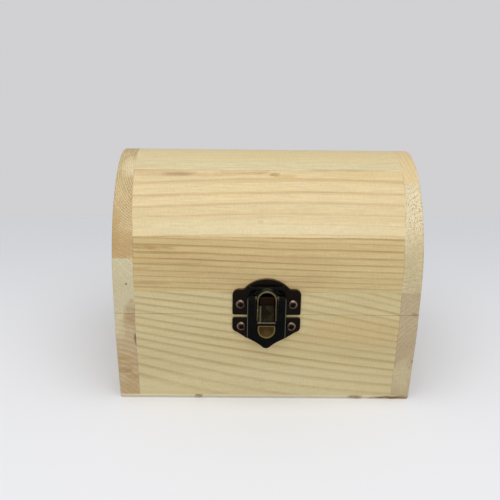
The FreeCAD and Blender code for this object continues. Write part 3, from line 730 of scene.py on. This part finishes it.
def tongue_bronze():
    """Dark body with painted shade in the recess and a painted highlight down its left side, a
    ridge rubbed by the thumb and given a painted highlight, a painted shadow under the ridge, and a
    brown dish whose rim carries a painted highlight.
    """
    material, graph, shader = new_material("tongue bronze")
    place = millimetres(graph)
    at = graph.use(HASP_RULER, Place=place)
    color = blackened_base(graph, place, tint(24, 20, 11), tint(48, 43, 25))
    # Painted highlight: the tongue's left side is tinted olive, as light reflected from the left.
    left = graph.step(graph.minus(graph.split(place)[0], hasp_offset), -2.2, -2.6)
    color = graph.tinge(color, left, 0.85, tint(92, 88, 64))
    # Painted shade: above the face, the arm and hub in the recess under the collar are painted
    # near-black red-brown.
    inner = graph.step(at["Rise"], tongue_face_top - 0.9, tongue_face_top - 0.2)
    color = graph.mix(inner, color, tint(28, 15, 7))
    # Painted shadow: below the ridge the neck is painted almost black.
    neck = graph.step(at["Rise"], -2.4, -2.7)
    color = graph.mix(neck, color, tint(10, 9, 8))
    below = graph.step(at["Rise"], bill_root + 0.15, bill_root - 0.15)
    dish = graph.mix(graph.step(at["Rise"], -8.0, -5.0), tint(64, 50, 24), tint(60, 46, 22))
    color = graph.mix(below, color, dish)
    # Painted highlight: the raised rim of the bill, where it stands out from the dish, is painted
    # bright olive.
    slope = graph.times(graph.minus(bill_root, at["Rise"]), math.tan(math.radians(bill_flare)))
    lift = graph.minus(graph.minus(at["Stand"], tongue_back), slope)
    rim = graph.times(graph.step(lift, 0.70, 0.88), below)
    color = graph.tinge(color, rim, 0.65, tint(114, 102, 58))
    # The ridge's front is rubbed bronze with a painted highlight.
    ridge = graph.band(at["Rise"], ridge_rise - 0.4, ridge_rise + 0.3, 0.12)
    ridge = graph.times(ridge, graph.step(at["Stand"], collar_front - 0.4, collar_front - 0.1))
    color = graph.tinge(color, ridge, 0.85, tint(98, 90, 76))
    plate_metal(graph, shader, color, place, 0.34)
    return material


def screw_bronze():
    """Dark screw heads with a coppery ring rubbed round the cross slot."""
    material, graph, shader = new_material("screw bronze")
    place = millimetres(graph)
    at = graph.use(HASP_RULER, Place=place)
    color = blackened_base(graph, place, tint(36, 24, 20), tint(58, 40, 34))
    # Painted shade: the cross slots and the low edge of each head are painted almost black.
    slot = graph.step(at["Stand"], plate_thickness + 0.55, plate_thickness + 0.75, 1.0, 0.0)
    color = graph.mix(slot, color, tint(16, 11, 9))
    ring = graph.use(SCREW_RINGS, Across=at["Across"], Rise=at["Rise"])["Mask"]
    uneven = graph.step(graph.noise(place, 0.8, 2.0), 0.3, 0.65, 0.6, 1.0)
    copper = graph.mix(graph.noise(place, 0.12, 1.0), tint(142, 114, 102), tint(136, 126, 104))
    color = graph.tinge(color, ring, uneven, copper)
    plate_metal(graph, shader, color, place, 0.36)
    return material


def pin_steel():
    """Dark steel, a little brighter on its edges."""
    material, graph, shader = new_material("dark pins")
    place = millimetres(graph)
    color = blackened_base(graph, place, tint(30, 28, 25), tint(60, 54, 46))
    edge = graph.use(EDGE_WEAR, Place=place, Width=0.3)["Mask"]
    color = graph.tinge(color, edge, 0.4, tint(120, 108, 84))
    plate_metal(graph, shader, color, place, 0.35)
    return material


def metal_materials():
    return {
        "antique_bronze": blackened_bronze(),
        "rubbed_bronze": tongue_bronze(),
        "bronze_screws": screw_bronze(),
        "steel_pins": pin_steel(),
    }


def dress_cad_nodes():
    woods = wood_materials()
    slots = {part["node"]: part["material_slot"] for part in frame["record"]["subparts"]}
    for name, piece in frame["nodes"].items():
        finish = woods[WOOD_OF_NODE[name]] if name in WOOD_OF_NODE else METALS[slots[name]]
        for place in piece.material_slots:
            place.material = finish


# --- drawing the hasp ---
HASP_PLACE = (Matrix.Translation((hasp_offset * MM, -half_depth * MM, seam * MM))
              @ Matrix.Rotation(math.radians(90), 4, "X") @ Matrix.Scale(MM, 4))


def vertices(made):
    return [item for item in made if isinstance(item, bmesh.types.BMVert)]


def draw_half(shape, top, moves):
    """Draws the right half of an outline from its top and mirrors it.

    A move is a point to go to, or a centre and the degrees to turn round it.
    """
    tip = shape.verts.new((0, top, 0))
    edges = set(shape.edges)
    for move in moves:
        if len(move) == 3:
            centre = (move[0], move[1], 0)
            turned = bmesh.ops.spin(shape, geom=[tip], cent=centre, axis=(0, 0, 1),
                                    angle=math.radians(move[2]), use_duplicate=False,
                                    steps=max(4, round(abs(move[2]) / 6)))
            tip = vertices(turned["geom_last"])[0]
        else:
            tip = bmesh.ops.extrude_vert_indiv(shape, verts=[tip])["verts"][0]
            tip.co = (*move, 0)
    half = [edge for edge in shape.edges if edge not in edges]
    points = list({vert for edge in half for vert in edge.verts})
    bmesh.ops.mirror(shape, geom=points + half, axis="X", merge_dist=0.001)


def soften_corners(shape, corners):
    """Rounds outline corners, given as (x, y, reach), on both sides."""
    for x, y, reach in corners:
        found = [vert for vert in shape.verts
                 if abs(abs(vert.co.x) - x) < 0.01 and abs(vert.co.y - y) < 0.01]
        bmesh.ops.bevel(shape, geom=found, offset=reach, offset_type="OFFSET", segments=6,
                        profile=0.5, affect="VERTICES", material=-1)


def rim_edges(shape, height):
    """Sharp edges that lie at one height above the wood."""
    return [edge for edge in shape.edges
            if all(abs(vert.co.z - height) < 0.001 for vert in edge.verts)
            and len(edge.link_faces) == 2 and edge.calc_face_angle() > 0.5]


def round_edges(shape, edges, size, segments=3):
    bmesh.ops.bevel(shape, geom=edges, offset=size, offset_type="OFFSET", segments=segments,
                    profile=0.5, affect="EDGES", clamp_overlap=True, material=-1)


def thicken(shape, low, high, rounding):
    """Pushes a flat outline out from low to high and rounds its front edge."""
    made = bmesh.ops.extrude_face_region(shape, geom=shape.faces[:], use_keep_orig=True)
    bmesh.ops.translate(shape, verts=vertices(made["geom"]), vec=(0, 0, high - low))
    bmesh.ops.translate(shape, verts=shape.verts[:], vec=(0, 0, low))
    bmesh.ops.recalc_face_normals(shape, faces=shape.faces[:])
    round_edges(shape, rim_edges(shape, high), rounding)
    return shape


def flat_piece(top, moves, corners, low, high, rounding):
    shape = bmesh.new()
    draw_half(shape, top, moves)
    bmesh.ops.contextual_create(shape, geom=shape.edges[:])
    soften_corners(shape, corners)
    return thicken(shape, low, high, rounding)


def block(x_range, y_range, z_range, rounding):
    shape = bmesh.new()
    bmesh.ops.create_cube(shape, size=1.0)
    size = [high - low for low, high in (x_range, y_range, z_range)]
    middle = [(high + low) / 2 for low, high in (x_range, y_range, z_range)]
    bmesh.ops.scale(shape, vec=size, verts=shape.verts[:])
    bmesh.ops.translate(shape, vec=middle, verts=shape.verts[:])
    round_edges(shape, shape.edges[:], rounding, 2)
    return shape


def barrel(radius, x_range, place, rounding):
    """A round bar along X; place is its height above the seam and its stand off the wood."""
    length = x_range[1] - x_range[0]
    middle = Matrix.Translation(((x_range[0] + x_range[1]) / 2, *place))
    shape = bmesh.new()
    bmesh.ops.create_cone(shape, cap_ends=True, cap_tris=False, segments=32, radius1=radius,
                          radius2=radius, depth=length,
                          matrix=middle @ Matrix.Rotation(math.radians(90), 4, "Y"))
    ends = [edge for edge in shape.edges if abs(edge.verts[0].co.x - edge.verts[1].co.x) < 0.001]
    round_edges(shape, ends, rounding)
    return shape


def front_face(shape):
    """The broad face that looks away from the wood."""
    return max(shape.faces, key=lambda face: face.calc_center_median().z * face.calc_area())


def both_sides(low, high):
    return ((low, high), (-high, -low))


def lid_plate():
    """Domed plate on the lid, with two knuckles that carry the flap."""
    centre = dome_height - dome_radius
    turn = math.degrees(math.acos((lid_ear_top - centre) / dome_radius))
    notch = dome_radius * math.sin(math.radians(turn))
    half = plate_half_width
    moves = [(0, centre, -turn), (half, lid_ear_top), (half, lid_plate_foot), (0, lid_plate_foot)]
    corners = [(half, lid_ear_top, 2.8), (half, lid_plate_foot, 0.9), (notch, lid_ear_top, 0.8)]
    shells = [flat_piece(dome_height, moves, corners, 0, plate_thickness, plate_rounding)]
    inner = flap_knuckle_half_length + knuckle_gap
    rise, stand = flap_axis
    for span in both_sides(inner, inner + plate_knuckle_length):
        shells.append(barrel(flap_knuckle_radius, span, flap_axis, 0.2))
        shells.append(block(span, (rise, rise + flap_knuckle_radius), (0.1, stand), 0.15))
    return shells


def box_plate():
    """Plate on the box that narrows to a point, with the keeper for the tongue."""
    half = plate_half_width
    head = box_plate_head
    moves = [(half, head), (half, box_ear_foot), box_ear_corner, box_waist, box_chin, (0, box_tip)]
    corners = [(half, head, 0.9), (half, box_ear_foot, 1.9), (*box_ear_corner, 0.9)]
    plate = flat_piece(head, moves, corners, 0, plate_thickness, plate_rounding)
    return [plate, block(*keeper_spans, 0.2)]


def flap_sheet():
    """The flap's sheet, with the opening behind the tongue."""
    shape = bmesh.new()
    half = flap_half_width
    draw_half(shape, flap_shoulder, [(half, flap_shoulder), (half, flap_corner), flap_chin,
                                     (0, flap_tip)])
    draw_half(shape, opening_centre + collar_opening,
              [(0, opening_centre, -90), (collar_opening, collar_foot),
               (slot_half_width, collar_foot), (slot_half_width, slot_foot), (0, slot_foot)])
    bmesh.ops.triangle_fill(shape, use_beauty=True, edges=shape.edges[:])
    bmesh.ops.dissolve_limit(shape, angle_limit=0.01, verts=[], edges=shape.edges[:])
    soften_corners(shape, [(half, flap_shoulder, 4.0), (half, flap_corner, 0.9),
                           (*flap_chin, 1.4), (0, flap_tip, 2.0)])
    return thicken(shape, flap_back, flap_front, 0.25)


def collar():
    """Raised hood round the tongue: a section carried up, over the top and down."""
    shape = bmesh.new()
    arch = hood_centre
    foot = collar_half_width + 0.3
    crest = collar_half_width - 0.35
    section = [(-foot, flap_front - 0.1), (-crest, collar_front),
               (-collar_opening - 0.1, collar_front), (-collar_opening, flap_front - 0.1)]
    end = shape.faces.new([shape.verts.new((x, collar_foot, z)) for x, z in section])
    run = arch - collar_foot
    for step in (run, None, -run):
        if step is None:
            made = bmesh.ops.spin(shape, geom=[end], cent=(0, arch, 0), axis=(0, 0, -1),
                                  angle=math.pi, steps=30, use_duplicate=False)["geom_last"]
        else:
            made = bmesh.ops.extrude_face_region(shape, geom=[end])["geom"]
            bmesh.ops.translate(shape, verts=vertices(made), vec=(0, step, 0))
        end = [item for item in made if isinstance(item, bmesh.types.BMFace)][0]
    bmesh.ops.holes_fill(shape, edges=shape.edges[:], sides=4)
    bmesh.ops.recalc_face_normals(shape, faces=shape.faces[:])
    ring = [edge for edge in rim_edges(shape, collar_front)
             if abs(edge.calc_length() - (crest - collar_opening - 0.1)) > 0.01]
    round_edges(shape, ring, 0.22)
    return shape


def flap():
    """The part that turns up: sheet, collar, knuckle, folded sides and lugs for the tongue."""
    neck = flap_knuckle_half_length
    rise = flap_axis[0]
    shells = [flap_sheet(), collar(),
              barrel(flap_knuckle_radius, (-neck, neck), flap_axis, 0.2),
              block((-neck, neck), (flap_shoulder - 0.8, rise), (flap_back, flap_front), 0.1)]
    for span in both_sides(flap_half_width - 0.6, flap_half_width):
        shells.append(block(span, (flap_corner + 0.9, fold_top),
                            (fold_back, flap_front - 0.3), 0.12))
    for span in both_sides(collar_half_width - 0.7, lug_reach):
        shells.append(barrel(lug_radius, span, tongue_axis, 0.3))
    return shells


def bill():
    """Rounded thumb piece with a raised rim round a shallow dish."""
    half = bill_half_width
    straight = half - bill_length
    shape = flat_piece(0, [(half, 0), (half, straight), (0, straight, -90)], [(half, 0, 0.7)],
                       0, bill_thickness, 0.22)
    front = front_face(shape)
    bmesh.ops.inset_region(shape, faces=[front], thickness=0.2, use_even_offset=True)
    bmesh.ops.inset_region(shape, faces=[front], thickness=0.5, depth=-0.35,
                           use_even_offset=True)
    bmesh.ops.transform(shape, verts=shape.verts[:],
                        matrix=Matrix.Translation((0, bill_root, tongue_back))
                        @ Matrix.Rotation(math.radians(-bill_flare), 4, "X"))
    return shape


def tongue():
    """Lever that turns in the collar; its finger sits under the keeper."""
    half = tongue_half_width
    rise, stand = tongue_axis
    body = flat_piece(tongue_face_top, [(half, tongue_face_top), (half, ridge_rise),
                                        (0, ridge_rise)],
                      [(half, tongue_face_top, 0.5)], tongue_back, tongue_face, 0.25)
    bmesh.ops.inset_region(body, faces=[front_face(body)], thickness=0.7, depth=-0.15,
                           use_even_offset=True)
    ridge = barrel(ridge_radius, (-ridge_half_length, ridge_half_length),
                   (ridge_rise, collar_front - ridge_radius), 0.25)
    arm = block((0.2 - half, half - 0.2), (tongue_face_top - 0.9, rise),
                (stand - 0.45, stand + 0.45), 0.1)
    hub = barrel(0.9, (0.2 - half, half - 0.2), tongue_axis, 0.1)
    neck = block((-half, half), (bill_root - 0.4, ridge_rise), (tongue_back, tongue_back + 0.45),
                 0.1)
    return [body, ridge, arm, hub, neck, block(*finger_spans, 0.1), bill()]


def add_object(name, data):
    made = bpy.data.objects.new(name, data)
    bpy.context.scene.collection.objects.link(made)
    return made


def make_piece(name, shells, node, body, slot):
    """Joins flat-drawn shells, sets them on the chest's front and lets them stand for a node."""
    whole = bmesh.new()
    for shell in shells:
        part = bpy.data.meshes.new("part")
        shell.to_mesh(part)
        shell.free()
        whole.from_mesh(part)
        bpy.data.meshes.remove(part)
    bmesh.ops.recalc_face_normals(whole, faces=whole.faces[:])
    bmesh.ops.transform(whole, matrix=HASP_PLACE, verts=whole.verts[:])
    mesh = bpy.data.meshes.new(name)
    whole.to_mesh(mesh)
    whole.free()
    mesh.shade_smooth()
    mesh.set_sharp_from_angle(angle=math.radians(35))
    mesh.materials.append(METALS[slot])
    piece = add_object(name, mesh)
    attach(piece, body)
    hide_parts(node)


# --- stage ---
BACKDROP = tint(209, 208, 210)


def blend_shaders(graph, share, first, second, output):
    """Mixes two shaders by a share and feeds the result to the tree's output."""
    blend = graph.node("ShaderNodeMixShader", share, first.outputs[0], second.outputs[0])
    graph.feed(graph.tree.nodes[output].inputs["Surface"], blend.outputs[0])


def stand_floor():
    """Pale table top, painted paler in front of the chest and greyer towards the back as painted
    light; beyond its back edge the backdrop is a shade greyer.
    """
    edge_place = 0.2043
    edge_slope = 0.0186
    edge_blur = 0.0015
    mesh = bpy.data.meshes.new("table_top")
    sheet = bmesh.new()
    bmesh.ops.create_grid(sheet, x_segments=1, y_segments=1, size=3.0)
    sheet.to_mesh(mesh)
    sheet.free()
    floor = add_object("table_top", mesh)
    material, graph, shader = new_material("matt white board")
    place = graph.split(graph.node("ShaderNodeTexCoord").outputs["Object"])
    edge = graph.ramp(place[0], edge_slope, edge_place)
    past = graph.minus(place[1], edge)
    beyond = graph.step(past, -edge_blur, edge_blur)
    # Painted light: the board is paler near the chest's front, which also lightens the chest's
    # contact shadow there, and greyer further back.
    depth = graph.step(place[1], -0.08, 0.18)
    paper = graph.mix(depth, tint(235, 236, 240), tint(219, 220, 224))
    graph.feed(shader.inputs["Base Color"], paper)
    shader.inputs["Roughness"].default_value = 0.9
    glow = graph.node("ShaderNodeEmission")
    glow.inputs["Color"].default_value = BACKDROP
    blend_shaders(graph, beyond, shader, glow, "Material Output")
    mesh.materials.append(material)


def hang_softbox(name, place, target, size, power):
    """A rectangular lamp, in metres, that faces the target."""
    lamp = bpy.data.lights.new(name, "AREA")
    lamp.shape = "RECTANGLE"
    lamp.size, lamp.size_y = size
    lamp.energy = power
    holder = add_object(name, lamp)
    holder.location = place
    holder.rotation_euler = (Vector(target) - Vector(place)).to_track_quat("-Z", "Y").to_euler()


def light_studio():
    """Two softboxes and an even white surround that itself looks grey."""
    middle = (0, 0, 0.05)
    hang_softbox("overhead_softbox", (0.0, -0.35, 1.0), middle, (1.2, 0.8), 6.7)
    hang_softbox("front_softbox", (0.0, -1.1, 0.35), middle, (1.0, 0.6), 2.3)
    world = bpy.data.worlds.new("studio")
    bpy.context.scene.world = world
    world.use_nodes = True
    graph = Graph(world.node_tree)
    sky = world.node_tree.nodes["Background"]
    sky.inputs["Color"].default_value = (1, 1, 1, 1)
    sky.inputs["Strength"].default_value = 0.5
    backdrop = graph.node("ShaderNodeBackground")
    backdrop.inputs["Color"].default_value = BACKDROP
    path = graph.node("ShaderNodeLightPath")
    seen = graph.math("MAXIMUM", path.outputs["Is Camera Ray"], path.outputs["Is Glossy Ray"])
    seen = graph.math("MAXIMUM", seen, path.outputs["Is Transmission Ray"])
    blend_shaders(graph, seen, sky, backdrop, "World Output")


def set_camera():
    """Stands in front of the chest, a little left of its middle, and looks down at it."""
    stand = Vector((-11.91, -350.46, 197.76)) * MM
    pitch, yaw, roll = (math.radians(angle) for angle in (22.044, 0.804, 0.81))
    lens = bpy.data.cameras.new("camera")
    lens.sensor_width = 36.0
    lens.lens = 57.6
    lens.clip_start = 0.01
    lens.clip_end = 20.0
    camera = add_object("camera", lens)
    look = Vector((math.sin(yaw) * math.cos(pitch), math.cos(yaw) * math.cos(pitch),
                   -math.sin(pitch)))
    level = Vector((math.cos(yaw), -math.sin(yaw), 0.0))
    rise = level.cross(look)
    right = math.cos(roll) * level + math.sin(roll) * rise
    up = math.cos(roll) * rise - math.sin(roll) * level
    turn = Matrix((right, up, -look)).transposed()
    camera.matrix_world = Matrix.Translation(stand) @ turn.to_4x4()
    bpy.context.scene.camera = camera


METALS = metal_materials()
dress_cad_nodes()
for name, shells, node, body, slot in (
        ("hasp_lid_pressing", lid_plate(), "hasp_lid_plate", "lid", "antique_bronze"),
        ("hasp_box_pressing", box_plate(), "hasp_box_plate", "box", "antique_bronze"),
        ("hasp_flap_pressing", flap(), "hasp_flap", "hasp_flap", "antique_bronze"),
        ("duckbill_tongue", tongue(), "hasp_tongue", "hasp_tongue", "rubbed_bronze")):
    make_piece(name, shells, node, body, slot)
stand_floor()
light_studio()
set_camera()
bpy.context.scene.view_settings.view_transform = "Standard"
